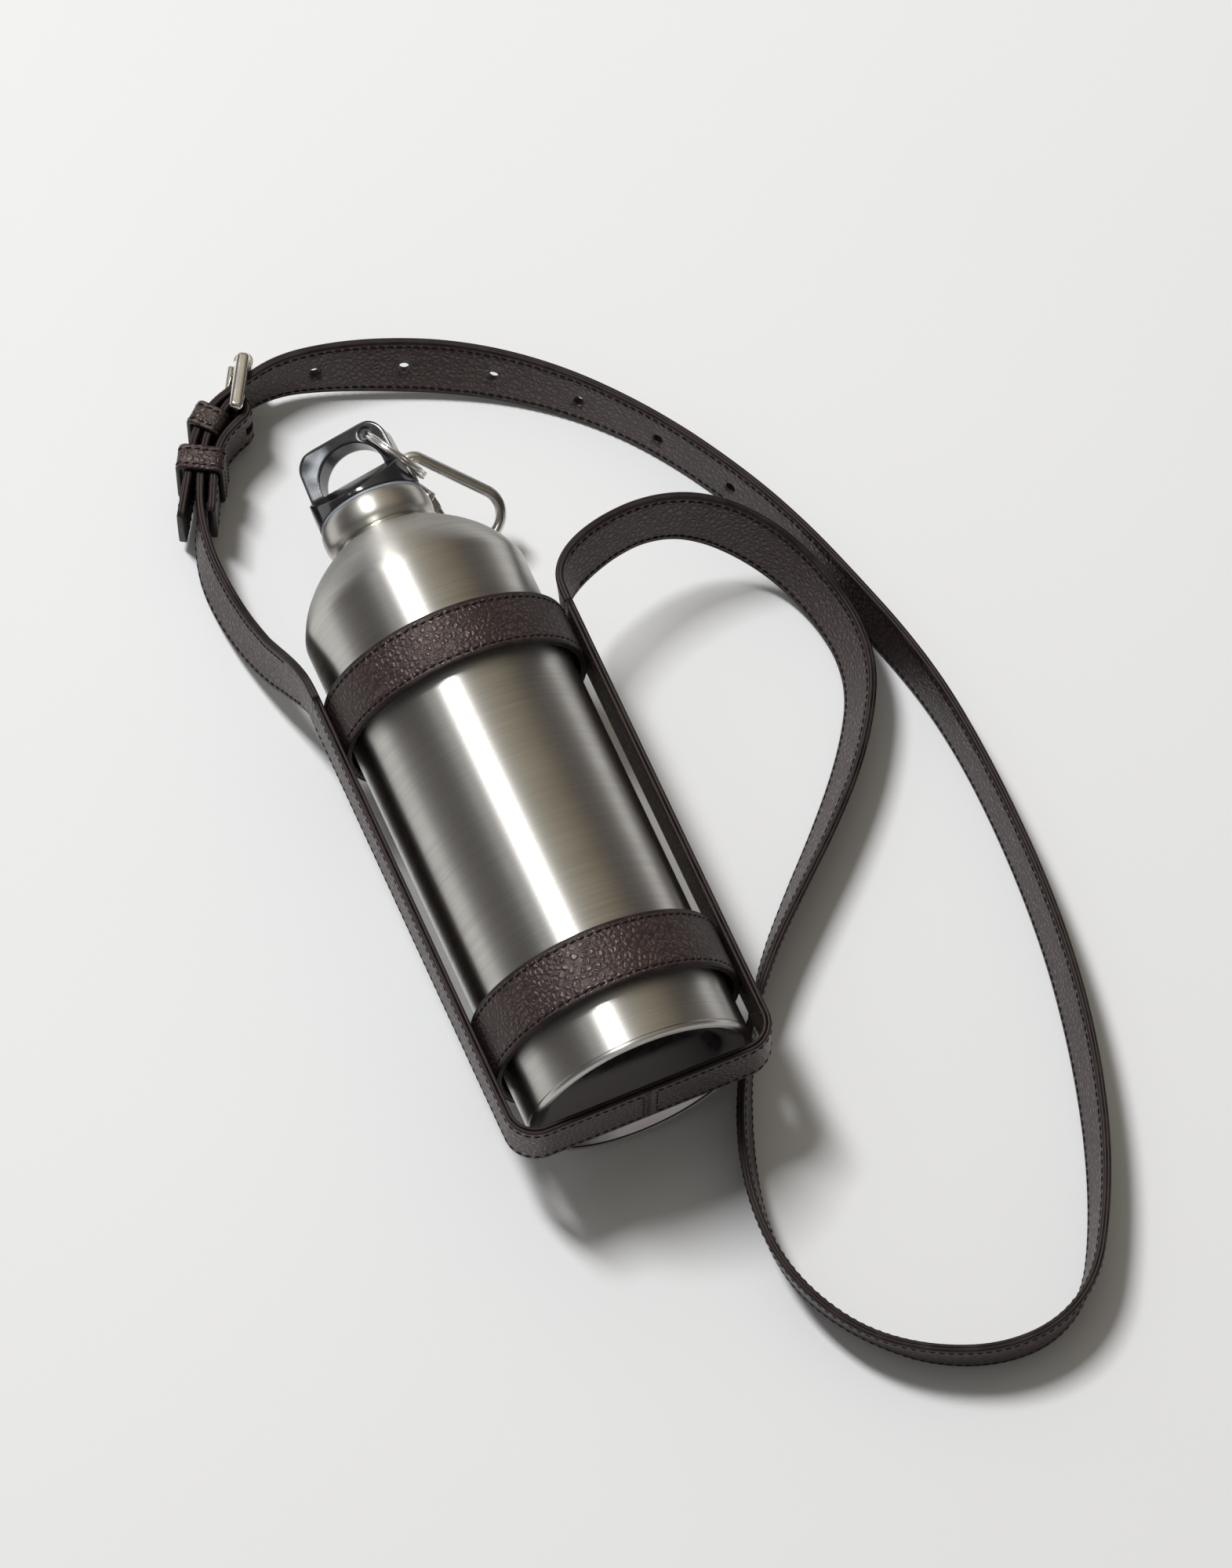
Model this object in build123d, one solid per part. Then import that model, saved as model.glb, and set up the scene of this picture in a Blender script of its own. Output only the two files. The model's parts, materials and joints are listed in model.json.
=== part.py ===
from build123d import *
import os
from math import sin, cos, tan, acos, atan2, radians

# A steel sports bottle in a leather sling, lying on its back, in millimetres.
# The bottle's axis runs along +Y with the cap at the far end, and Z is up from the surface.
# Y is counted from the bottle's foot while modelling, and moved to the middle on export.

overrun = 2.0                 # how far a cutting solid passes a face
seat_gap = 0.05               # between faces that sit on each other
soft_gap = 0.3                # round leather that lies against something

# Bottle
bottle_dia = 73.0
body_length = 173.8           # straight wall, foot to shoulder
shoulder_height = 29.67
shoulder_power = 1.6
steel_wall = 0.8
foot_chamfer = 1.4
shoulder_shares = (0.0, 0.18, 0.36, 0.54, 0.7, 0.84, 0.94, 1.0)
shoulder_end_share = 0.9      # slope where the shoulder meets the neck
neck_dia = 30.0
neck_height = 3.93            # above the shoulder
collar_dia = 36.0             # widest part of the rolled ring
collar_rim_dia = 34.6
collar_height = 9.4
collar_roll = 5.4             # from its foot to its widest part
collar_lip = 1.6              # above the neck
collar_round = 0.4
collar_start_share = 0.2
collar_end_share = 0.5
foot_recess = 2.8             # depth of the foot at its middle
foot_rim_width = 2.4
foot_step = 1.4

# Cap
gasket_height = 0.8
gasket_inset = 0.4
plug_clearance = 0.35
plug_length = 14.0
plug_wall = 2.6
flange_dia = 34.4
flange_edge = 1.6
loop_thickness = 8.0
loop_foot_height = 11.4       # above the collar
loop_height = 16.4
loop_width_foot = 30.8
loop_width_top = 29.4
loop_corner = 7.0
loop_bevel = 0.9
finger_width = 22.0
finger_arch_up = 1.2          # middle of the hole's arch above its foot
cap_turn = 20.0               # how far the cap stopped past level
ring_hole_dia = 4.2
ring_hole_across = 9.0        # from the cap's axis
ring_hole_down = 4.4          # from the top of the loop

# Split ring and carabiner
ring_dia = 22.0               # to the middle of the wire
ring_wire = 1.2
ring_lean = 28.0              # how far it hangs outward of straight down the bottle
carabiner_wire = 3.6
eye_radius = 4.0
eye_place = -79.0             # degrees round the ring from its far side
eye_hang = 0.45               # how far the ring lies off the middle of the eye
bend_radius = 8.8
bend_along = 24.9
bend_across = 3.7
carabiner_aim = (0.657, -0.560, -0.504)
hinge_along = 8.2
hinge_across = 4.9
hinge_end = 1.7               # wire past the rivet
gate_gap = 0.25
gate_nose_back = 1.5
gate_dia = 3.0
gate_ear = 0.8
gate_yoke = 2.4
rivet_dia = 1.6
rivet_play = 0.05
rivet_head_dia = 2.8
rivet_head = 0.7

# Leather holder
band_slack = 1.4              # between the bottle and a band, all round
band_thickness = 2.4
bottle_clearance = 0.3        # the bottle lies low in its bands
band_width = 20.2
lower_band_y = 28.0
band_round = 0.6
upper_band_y = 143.5
upper_band_width = 18.4
strap_width = 20.0
layer = 1.3                   # straps are two layers sewn together
strap_off_band = 0.3          # from a band to the inner face of a side strap
under_foot = 3.5              # slack under the foot
strap_corner = 10.0
side_strap_top = 153.0

# Shoulder strap
buckle_middle = 14.0
run_share = 0.45              # how much of the shorter run an arc takes
section_shares = (0.0, 0.5, 1.0)    # where along an arc the strap has its sections
strap_hole_dia = 3.6
strap_hole_first = 756.0      # along the long strap
strap_hole_pitch = 28.5
strap_hole_count = 6
fold_slot = 5.0

# Buckle
near_bar_x = -22.3
near_bar_y = 267.0
buckle_heading = 59.97        # from +X, along the side bars
bar_spacing = 16.4
bar_dia = 3.5
side_bar = 3.8                # height of a side bar
side_bar_round = 1.7
frame_depth = 4.4
frame_height = 28.0
roller_dia = 6.0
roller_play = 0.1
prong_dia = 2.2
prong_eye_wall = 1.2
prong_gap = 0.4               # between the prong and the roller
prong_over = 2.2
prong_hole_dia = 3.4

# Keepers
keeper_length = 8.4
keeper_leather = 1.6
keeper_round = 2.2
keeper_gap = 0.4
fixed_keeper_x = -31.9
fixed_keeper_y = 267.1
fixed_keeper_heading = 220.0
fixed_keeper_inside = 8.0
sliding_keeper_x = -39.3
sliding_keeper_y = 254.7
sliding_keeper_heading = 240.0
sliding_keeper_inside = 12.0

strap_thickness = 2 * layer
bottle_r = bottle_dia / 2
band_r = bottle_r + band_slack + band_thickness
band_axis_z = band_r
bottle_z = band_thickness + bottle_clearance + bottle_r
neck_r = neck_dia / 2
neck_top = body_length + shoulder_height + neck_height
collar_top = neck_top + collar_lip
collar_bottom = collar_top - collar_height
collar_widest = collar_bottom + collar_roll
loop_foot = collar_top + loop_foot_height
loop_top = loop_foot + loop_height
ring_hole_y = loop_top - ring_hole_down
strap_inside = 2 * (band_r + strap_off_band)
flange_r = flange_dia / 2
cap_seat = collar_top + gasket_height + 2 * seat_gap
ring_r = ring_dia / 2
low_y = -under_foot - strap_thickness
middle_y = (loop_top + low_y) / 2

# Routes of the free straps: x, y, z of the strap's middle, and how far its top leans outward in degrees
strap_start = (strap_inside / 2 + layer, side_strap_top + seat_gap, band_axis_z)
long_route = [
    (41.9, 157.6, 40.3, 0), (44.0, 162.6, 40.5, 9), (48.8, 167.0, 40.5, 15), (55.9, 170.6, 39.9, 17),
    (65.2, 173.4, 39.0, 15), (76.0, 174.9, 37.2, 13), (87.5, 173.8, 34.0, 14), (98.0, 169.8, 29.0, 18), (107.0, 163.8, 22.4, 21),
    (114.3, 155.9, 16.6, 23), (119.4, 146.2, 12.8, 23), (122.8, 134.6, 10.6, 23), (124.0, 121.5, 10.1, 23),
    (121.4, 108.4, 10.1, 23), (114.6, 96.0, 10.1, 24), (104.6, 82.5, 10.1, 25), (90.6, 67.6, 10.1, 23),
    (74.5, 52.4, 10.1, 19), (58.4, 36.6, 10.1, 12), (44.8, 18.6, 10.1, 2), (34.0, 0.0, 10.1, -6),
    (26.0, -18.6, 10.1, -11), (21.0, -37.6, 10.1, -10), (20.2, -56.6, 10.1, -10), (25.2, -74.2, 10.1, -12),
    (35.4, -90.4, 10.1, -15), (50.4, -103.4, 10.1, -9), (69.0, -111.2, 10.1, -7), (87.8, -111.2, 10.1, -5),
    (103.4, -101.8, 10.1, -8), (114.2, -84.0, 10.1, -11), (123.0, -64.4, 10.1, -14), (130.0, -43.6, 10.1, -15),
    (135.6, -21.4, 10.1, -15), (139.6, 1.2, 10.1, -13), (142.0, 24.6, 10.1, -11), (143.0, 48.4, 10.1, -9),
    (142.8, 72.0, 10.1, -8), (141.0, 94.6, 10.1, -9), (136.6, 116.4, 10.1, -11), (130.6, 137.4, 10.1, -12),
    (125.0, 156.6, 10.1, -11), (118.4, 174.4, 10.1, -10), (110.4, 191.0, 10.1, -10), (101.4, 207.0, 10.1, -10),
    (90.4, 222.8, 10.1, -11), (77.2, 237.6, 10.1, -16), (62.0, 250.4, 10.4, -22), (45.2, 260.8, 11.0, -27),
    (27.6, 268.6, 11.9, -26), (10.8, 274.2, 13.0, -18), (-4.6, 277.2, 13.8, -8)]
tail_route = [
    (-18.5, 274.9, 14.0, 0), (-29.9, 271.3, 14.0, 0), (-37.9, 264.1, 14.0, 0), (-43.2, 254.9, 14.0, 0),
    (-48.0, 246.9, 13.8, 0), (-52.4, 239.6, 13.6, 0)]
short_route = [
    (-41.9, 157.8, 40.3, 0), (-42.3, 162.6, 38.4, 0), (-43.1, 167.8, 34.7, -2), (-44.5, 174.6, 29.2, -5),
    (-46.7, 183.6, 22.9, -9), (-48.9, 196.6, 16.8, -12), (-50.1, 210.0, 13.2, -13), (-50.2, 222.6, 12.0, -12), (-48.2, 234.0, 12.6, -7), (-44.4, 244.0, 13.4, 0),
    (-39.8, 253.6, 14.0, 0)]
fold_start = (-34.2, 262.6)
fold_route = [(-26.2, 261.9), (-31.6, 258.2), (-36.2, 252.0), (-39.3, 244.7), (-43.0, 237.4)]


def save(name, shape):
    export_step(Pos(0, -middle_y, 0) * shape, f"parts/{name}.step")


def arc_radii(points):
    """The radius of the arc at each inner point, from its share of the shorter run and half the turn."""
    radii = []
    for a, b, c in zip(points, points[1:], points[2:]):
        half_turn = radians((b - a).get_angle(c - b)) / 2
        radii.append(run_share * min((b - a).length, (c - b).length) / tan(half_turn))
    return radii


def strap_path(name, points):
    points = [Vector(*p) for p in points]
    radii = arc_radii(points)
    print(name, "radii", [round(r, 1) for r in radii])
    return FilletPolyline(*points, radius=radii)


def strap(name, route):
    """A flat strap standing on edge along a route, its upper edge leaning as the route says.

    Returns the strap, its middle line, and a frame for each section with how far along the strap it is.
    """
    spine = strap_path(name, [p[:3] for p in route])
    leans = [p[3] for p in route]
    corner = 0
    along = 0
    frames = [(0, strap_frame(spine @ 0, spine % 0, leans[0]))]
    for edge in spine.edges():
        if edge.geom_type == GeomType.CIRCLE:
            corner += 1
            around = ((leans[corner - 1] + leans[corner]) / 2, leans[corner], (leans[corner] + leans[corner + 1]) / 2)
            for share, lean in zip(section_shares, around):
                frames.append((along + share * edge.length, strap_frame(edge @ share, edge % share, lean)))
        along += edge.length
    frames.append((along, strap_frame(spine @ 1, spine % 1, leans[-1])))
    solid = loft([frame * Rectangle(strap_width, strap_thickness) for along, frame in frames], ruled=True)
    print(name, "length", round(spine.length, 1), "volume over section times length",
          round(solid.volume / (strap_width * strap_thickness * spine.length), 3))
    return solid, spine, frames


def strap_frame(place, ahead, lean):
    """A plane across the strap, its X up the strap's width and its Y out through the strap."""
    level = Vector(ahead.Y, -ahead.X, 0).normalized()
    up = cos(radians(lean)) * level.cross(ahead) - sin(radians(lean)) * level
    return Plane(origin=place, x_dir=up, z_dir=ahead)


def turned(outline):
    """A profile in radius and Y, turned about the bottle's axis."""
    return Pos(0, 0, bottle_z) * revolve(outline, axis=Axis.Y)


def shoulder(radius, height, start, neck):
    """Points down the shoulder curve, from the straight wall to the neck."""
    points = []
    last = (1 - (neck / radius) ** shoulder_power) ** (1 / shoulder_power)
    for share in shoulder_shares:
        rise = last * share
        points.append((radius * (1 - rise ** shoulder_power) ** (1 / shoulder_power), start + height * rise))
    return points


def bottle_profile(radius, height, neck, foot, top, chamfer):
    curve = shoulder(radius, height, body_length, neck)
    with BuildSketch() as outline:
        with BuildLine():
            Polyline((0, foot), (radius - chamfer, foot), (radius, foot + chamfer), curve[0])
            Spline(*curve, tangents=[(0, 1), (-1, shoulder_end_share)])
            Polyline(curve[-1], (neck, top), (0, top), (0, foot))
        make_face()
    return outline.sketch


def bottle_body():
    outer = bottle_profile(bottle_r, shoulder_height, neck_r, 0, neck_top, foot_chamfer)
    inner = bottle_profile(bottle_r - steel_wall, shoulder_height - steel_wall, neck_r - steel_wall,
                           0, neck_top + overrun, foot_chamfer)
    return turned(outer - inner)


def base_disc():
    """The pressed disc welded into the foot: a narrow rim round a shallow dish."""
    rim = bottle_r - steel_wall - seat_gap
    lip = rim - foot_rim_width
    depth = foot_recess - foot_step
    dish_r = (lip * lip + depth * depth) / (2 * depth)
    half_way = foot_recess - dish_r + (dish_r * dish_r - lip * lip / 4) ** 0.5
    with BuildSketch() as outline:
        with BuildLine():
            Line((rim, foot_step + foot_chamfer), (lip, foot_step))
            ThreePointArc((lip, foot_step), (lip / 2, half_way), (0, foot_recess))
            Line((0, foot_recess), (0, foot_recess + steel_wall))
            ThreePointArc((0, foot_recess + steel_wall), (lip / 2, half_way + steel_wall),
                          (lip, foot_step + steel_wall))
            Polyline((lip, foot_step + steel_wall), (rim, foot_step + foot_chamfer + steel_wall),
                     (rim, foot_step + foot_chamfer))
        make_face()
    return turned(outline.sketch)


def neck_collar():
    """The rolled steel ring round the mouth, with its lip turned in over the neck."""
    sleeve = neck_r + seat_gap
    bore = neck_r - steel_wall
    lip = neck_top + seat_gap
    widest = collar_dia / 2
    rim = collar_rim_dia / 2
    with BuildSketch() as outline:
        with BuildLine():
            Spline((sleeve + seat_gap, collar_bottom), (widest, collar_widest), (rim, collar_top - collar_round),
                   tangents=[(1, collar_start_share), (0, 1), (-collar_end_share, 1)])
            Polyline((rim, collar_top - collar_round), (rim - collar_round, collar_top), (bore, collar_top),
                     (bore, lip), (sleeve, lip), (sleeve, collar_bottom), (sleeve + seat_gap, collar_bottom))
        make_face()
    return turned(outline.sketch)


def in_cap(shape):
    """From the cap's own frame, X across its loop and Z through it, to its place on the bottle."""
    return Pos(0, 0, bottle_z) * Rot(0, -cap_turn, 0) * shape


def cap():
    half_foot = loop_width_foot / 2
    half_top = loop_width_top / 2
    front = make_face(Polyline((-flange_r, cap_seat), (flange_r, cap_seat), (flange_r, cap_seat + flange_edge),
                               (half_foot, loop_foot), (half_top, loop_top), (-half_top, loop_top),
                               (-half_foot, loop_foot), (-flange_r, cap_seat + flange_edge), close=True))
    front = fillet(front.vertices().group_by(Axis.Y)[-1], loop_corner)
    half = loop_thickness / 2
    side = make_face(Polyline((-flange_r, cap_seat), (flange_r, cap_seat), (flange_r, cap_seat + flange_edge),
                              (half, loop_foot), (half, loop_top - loop_bevel), (half - loop_bevel, loop_top),
                              (loop_bevel - half, loop_top), (-half, loop_top - loop_bevel), (-half, loop_foot),
                              (-flange_r, cap_seat + flange_edge), close=True))
    block = extrude(front, flange_r + overrun, both=True)
    block &= extrude(Rot(0, -90, 0) * side, flange_r + overrun, both=True)
    block &= Pos(0, (cap_seat + loop_top) / 2, 0) * Rot(90, 0, 0) * Cylinder(flange_r, loop_top - cap_seat)
    finger_r = finger_width / 2
    arch = Pos(0, loop_foot + finger_arch_up) * Circle(finger_r)
    arch &= Pos(0, loop_foot + finger_r) * Rectangle(finger_width, finger_width)
    block -= extrude(arch, flange_r, both=True)
    block -= Pos(ring_hole_across, ring_hole_y, 0) * Cylinder(ring_hole_dia / 2, flange_dia)
    plug_r = neck_r - steel_wall - plug_clearance
    plug = Pos(0, cap_seat - plug_length / 2, 0) * Rot(90, 0, 0) * Cylinder(plug_r, plug_length)
    hollow = Pos(0, cap_seat - plug_length / 2 - plug_wall, 0) * Rot(90, 0, 0) * Cylinder(
        plug_r - plug_wall, plug_length)
    return in_cap(block + plug - hollow)


def cap_gasket():
    outer = collar_rim_dia / 2 - gasket_inset
    bore = neck_r - steel_wall + gasket_inset
    y = collar_top + seat_gap
    ring = make_face(Polyline((bore, y), (outer, y), (outer, y + gasket_height), (bore, y + gasket_height),
                              close=True))
    return turned(ring)


def ring_frame():
    """Plane of the split ring: its X from the cap's hole to the far side, its Y up through the hole."""
    lean = radians(ring_lean)
    down = Vector(sin(lean), -cos(lean), 0)
    centre = Vector(ring_hole_across, ring_hole_y, 0) + ring_r * down
    place = in_cap(Plane(origin=centre, x_dir=down, z_dir=down.cross(Vector(0, 0, 1))).location)
    return Plane(place)


def split_ring():
    """Two turns of wire side by side."""
    turn = Torus(ring_r, ring_wire / 2)
    coil = Pos(0, 0, ring_wire / 2 - seat_gap) * turn + Pos(0, 0, seat_gap - ring_wire / 2) * turn
    return ring_frame().location * coil


def carabiner_frame():
    """Plane of the carabiner: origin in its eye, on the ring's wire, X towards the wide bend."""
    frame = ring_frame()
    place = radians(eye_place)
    eye = frame.from_local_coords(Vector(ring_r * cos(place), ring_r * sin(place), 0))
    along_ring = frame.from_local_coords(Vector(-sin(place), cos(place), 0)) - frame.origin
    aim = Vector(*carabiner_aim).normalized()
    across = (along_ring - aim * along_ring.dot(aim)).normalized()
    return Plane(origin=eye + eye_hang * aim, x_dir=aim, z_dir=across)


def touch(point, centre, radius, side):
    """Where the straight from a point touches a round bend, on its left (1) or right (-1)."""
    away = point - centre
    swing = atan2(away.Y, away.X) - side * acos(radius / away.length)
    return centre + radius * Vector(cos(swing), sin(swing))


def carabiner_points():
    """The wire's rivet, nose and wide bend in the carabiner's plane, with its narrow bend at the origin."""
    bend = Vector(bend_along, -bend_across)
    return Vector(hinge_along, -hinge_across), bend + Vector(-gate_nose_back, -bend_radius), bend


def carabiner_body():
    """Bent wire: a narrow bend that hangs on the ring, a long back and a wide bend up to the gate's nose."""
    hinge, nose, bend = carabiner_points()
    swing = atan2(bend.Y, bend.X) + acos((eye_radius - bend_radius) / bend.length)
    outward = Vector(cos(swing), sin(swing))
    leave = touch(hinge, Vector(0, 0), eye_radius, 1)
    tip = hinge + hinge_end * (hinge - leave).normalized()
    low = bend + Vector(0, -bend_radius)
    with BuildLine() as wire:
        Line(tip, leave)
        ThreePointArc(leave, Vector(-eye_radius, 0), eye_radius * outward)
        Line(eye_radius * outward, bend + bend_radius * outward)
        ThreePointArc(bend + bend_radius * outward, bend + Vector(bend_radius, 0), low)
        Line(low, nose)
    wire = wire.line
    body = sweep(Plane(origin=wire @ 0, z_dir=wire % 0) * Circle(carabiner_wire / 2), path=wire)
    body -= Pos(hinge.X, hinge.Y) * Cylinder(rivet_dia / 2 + rivet_play, 2 * carabiner_wire)
    return carabiner_frame().location * body


def carabiner_gate():
    """The sprung arm: a rod with two ears that straddle the end of the wire."""
    hinge, nose, bend = carabiner_points()
    run = (nose - hinge).normalized()
    start = hypotenuse(hinge_end, carabiner_wire / 2) + gate_gap
    slant = gate_dia / 2 * abs(run.Y / run.X)
    length = (nose - hinge).length - slant - gate_gap / run.X
    inner = carabiner_wire / 2 + gate_gap
    rod = Pos((start + length) / 2, 0, 0) * Rot(0, 90, 0) * Cylinder(gate_dia / 2, length - start)
    yoke = Pos(start + gate_yoke / 2, 0, 0) * Box(gate_yoke, gate_dia, 2 * (inner + gate_ear))
    yoke = fillet(yoke.edges().filter_by(Axis.X), gate_ear)
    ear = extrude(Pos(start / 2 + gate_ear, 0) * Rectangle(start + 2 * gate_ear, gate_dia) + Circle(gate_dia / 2),
                  gate_ear)
    gate = rod + yoke + Pos(0, 0, inner) * ear + Pos(0, 0, -inner - gate_ear) * ear
    gate -= Cylinder(rivet_dia / 2 + rivet_play, 4 * carabiner_wire)
    swing = Rot(0, 0, Vector(1, 0, 0).get_signed_angle(run, Vector(0, 0, 1)))
    return carabiner_frame().location * Pos(hinge.X, hinge.Y) * swing * gate


def hypotenuse(a, b):
    return (a * a + b * b) ** 0.5


def gate_rivet():
    hinge, nose, bend = carabiner_points()
    reach = carabiner_wire / 2 + gate_gap + gate_ear + rivet_play
    pin = Cylinder(rivet_dia / 2, 2 * reach)
    head = chamfer(Cylinder(rivet_head_dia / 2, rivet_head).edges().group_by(Axis.Z)[-1], rivet_head / 2)
    pin += Pos(0, 0, reach + rivet_head / 2) * head
    pin += Pos(0, 0, -reach - rivet_head / 2) * Rot(180, 0, 0) * head
    return carabiner_frame().location * Pos(hinge.X, hinge.Y) * pin


def band(y, width):
    """A stitched leather band, closed round the bottle."""
    inner = band_r - band_thickness
    ring = Pos((inner + band_r) / 2, y) * Rectangle(band_thickness, width)
    ring = fillet(ring.vertices().group_by(Axis.X)[-1], band_round)
    return Pos(0, 0, band_axis_z) * revolve(ring, axis=Axis.Y)


def foot_loop(inset, thickness, top):
    """One layer of the strap that runs down one side, under the foot and up the other."""
    def outline(out):
        half = strap_inside / 2 + out
        bottom = -under_foot - out
        sheet = Pos(0, (bottom + top + overrun) / 2) * Rectangle(2 * half, top + overrun - bottom)
        return fillet(sheet.vertices().group_by(Axis.Y)[0], strap_corner - strap_thickness + out)
    ring = outline(inset + thickness) - outline(inset)
    ring &= Pos(0, (top + low_y) / 2) * Rectangle(2 * strap_inside, top - low_y)
    return Pos(0, 0, band_axis_z - strap_width / 2) * extrude(ring, strap_width)


def base_strap_lining():
    return foot_loop(0, layer - seat_gap, side_strap_top)


def base_strap_half(side):
    whole = foot_loop(layer, layer, side_strap_top)
    keep = Pos(side * strap_inside, (side_strap_top + low_y) / 2, band_axis_z) * Box(
        2 * strap_inside - seat_gap, 2 * side_strap_top, 2 * strap_width)
    return whole & keep


def shoulder_strap_long():
    """The long strap with its tail, its row of holes and the hole that the prong is in."""
    body, spine, frames = strap("long strap", [(*strap_start, 0)] + long_route + tail_route)
    for hole in range(strap_hole_count):
        place = strap_hole_first + hole * strap_hole_pitch
        frame = min(frames, key=lambda each: abs(each[0] - place))[1]
        body -= Plane(origin=spine @ (place / spine.length), z_dir=frame.y_dir).location * Cylinder(
            strap_hole_dia / 2, 2 * strap_thickness)
    return body - buckle_plane().location * Rot(-90, 0, 0) * prong_pin(prong_hole_dia, overrun)


def fold_join():
    """Where the short strap's free part ends and its folded end begins."""
    return (Vector(*short_route[-1][:2]) + Vector(*fold_start)) / 2


def shoulder_strap_short():
    x, y, z = strap_start
    join = fold_join()
    return strap("short strap", [(-x, y, z, 0)] + short_route + [(join.X, join.Y, buckle_middle, 0)])[0]


def fold_back():
    """The short strap's end: up to the near bar, round it and back inside, slotted for the prong."""
    bar = Vector(near_bar_x, near_bar_y)
    reach = bar_dia / 2 + soft_gap + strap_thickness / 2
    outer = touch(Vector(*fold_start), bar, reach, 1)
    inner = touch(Vector(*fold_route[0]), bar, reach, -1)
    there = [fold_join(), Vector(*fold_start), outer]
    back = [inner] + [Vector(*p) for p in fold_route]
    with BuildLine() as line:
        FilletPolyline(*there, radius=arc_radii(there))
        ThreePointArc(outer, bar + reach * along_buckle(), inner)
        FilletPolyline(*back, radius=arc_radii(back))
    line = line.line
    section = Plane(origin=line @ 0, x_dir=(0, 0, 1), z_dir=line % 0) * Rectangle(strap_width, strap_thickness)
    body = Pos(0, 0, buckle_middle) * sweep(section, path=line)
    slot = Pos(0, 0, 0) * Box(4 * reach, fold_slot, 4 * reach)
    return body - buckle_plane().location * slot


def along_buckle():
    return Vector(cos(radians(buckle_heading)), sin(radians(buckle_heading)), 0)


def buckle_plane():
    """Upright plane of the buckle: X from the near bar to the roller bar, Y up."""
    return Plane(origin=(near_bar_x, near_bar_y, buckle_middle), x_dir=along_buckle(),
                 z_dir=along_buckle().cross(Vector(0, 0, 1)))


def buckle_frame():
    """A rectangular frame: two round bars joined by two heavier side bars."""
    plane = buckle_plane()
    length = bar_spacing + bar_dia
    side = Pos(bar_spacing / 2, 0, 0) * Box(length, side_bar, frame_depth)
    side = fillet(side.edges(), side_bar_round)
    reach = frame_height / 2 - side_bar / 2
    frame = Pos(0, reach, 0) * side + Pos(0, -reach, 0) * side
    for x in (0, bar_spacing):
        frame += Pos(x, 0, 0) * Rot(90, 0, 0) * Cylinder(bar_dia / 2, 2 * reach)
    return plane.location * frame


def buckle_roller():
    length = frame_height - 2 * side_bar - 2 * roller_play
    tube = Cylinder(roller_dia / 2, length) - Cylinder(bar_dia / 2 + roller_play, length + overrun)
    return buckle_plane().location * Pos(bar_spacing, 0, 0) * Rot(90, 0, 0) * tube


def prong_pin(diameter, extra):
    """The prong's shank, from the near bar out over the roller, with Y pointing away from the bottle."""
    lift = roller_dia / 2 + prong_dia / 2 + prong_gap
    foot = bar_dia / 2 + roller_play + prong_dia / 2
    bend = bar_spacing - roller_dia
    path = Polyline((0, foot), (bend, lift), (bar_spacing + prong_over + extra, lift))
    section = Plane(origin=path @ 0, z_dir=path % 0) * Circle(diameter / 2)
    return sweep(section, path=path, transition=Transition.ROUND)


def buckle_prong():
    """A pin with an eye round the near bar, its tip lying over the roller."""
    eye_r = bar_dia / 2 + roller_play + prong_eye_wall
    eye = Cylinder(eye_r, prong_dia) + prong_pin(prong_dia, 0)
    eye -= Cylinder(bar_dia / 2 + roller_play, 2 * prong_dia)
    return buckle_plane().location * Rot(-90, 0, 0) * eye


def keeper(x, y, heading, inside):
    """A flat leather loop sewn round the straps."""
    height = strap_width + 2 * keeper_gap
    loop = Box(keeper_length, inside + 2 * keeper_leather, height + 2 * keeper_leather)
    loop = fillet(loop.edges().filter_by(Axis.X), keeper_round)
    loop -= Box(2 * keeper_length, inside, height)
    return Pos(x, y, buckle_middle) * Rot(0, 0, heading) * loop


os.makedirs("parts", exist_ok=True)
save("bottle_body", bottle_body())
save("base_disc", base_disc())
save("neck_collar", neck_collar())
save("cap", cap())
save("cap_gasket", cap_gasket())
save("split_ring", split_ring())
save("carabiner_body", carabiner_body())
save("carabiner_gate", carabiner_gate())
save("gate_rivet", gate_rivet())
save("upper_band", band(upper_band_y, upper_band_width))
save("lower_band", band(lower_band_y, band_width))
save("base_strap_lining", base_strap_lining())
save("base_strap_left", base_strap_half(-1))
save("base_strap_right", base_strap_half(1))
save("shoulder_strap_long", shoulder_strap_long())
save("shoulder_strap_short", shoulder_strap_short())
save("fold_back", fold_back())
save("buckle_frame", buckle_frame())
save("buckle_roller", buckle_roller())
save("buckle_prong", buckle_prong())
save("fixed_keeper", keeper(fixed_keeper_x, fixed_keeper_y, fixed_keeper_heading, fixed_keeper_inside))
save("sliding_keeper", keeper(sliding_keeper_x, sliding_keeper_y, sliding_keeper_heading, sliding_keeper_inside))
frame = ring_frame()
print("middle", round(middle_y, 3), "ring centre", frame.origin, "hole axis", frame.y_dir)
frame = carabiner_frame()
print("carabiner eye", frame.origin, "x", frame.x_dir, "y", frame.y_dir, "z", frame.z_dir)
hinge = frame.from_local_coords(carabiner_points()[0])
print("gate hinge", hinge)
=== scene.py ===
import bpy
import bmesh
import json
import math
from mathutils import Matrix, Vector

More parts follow.
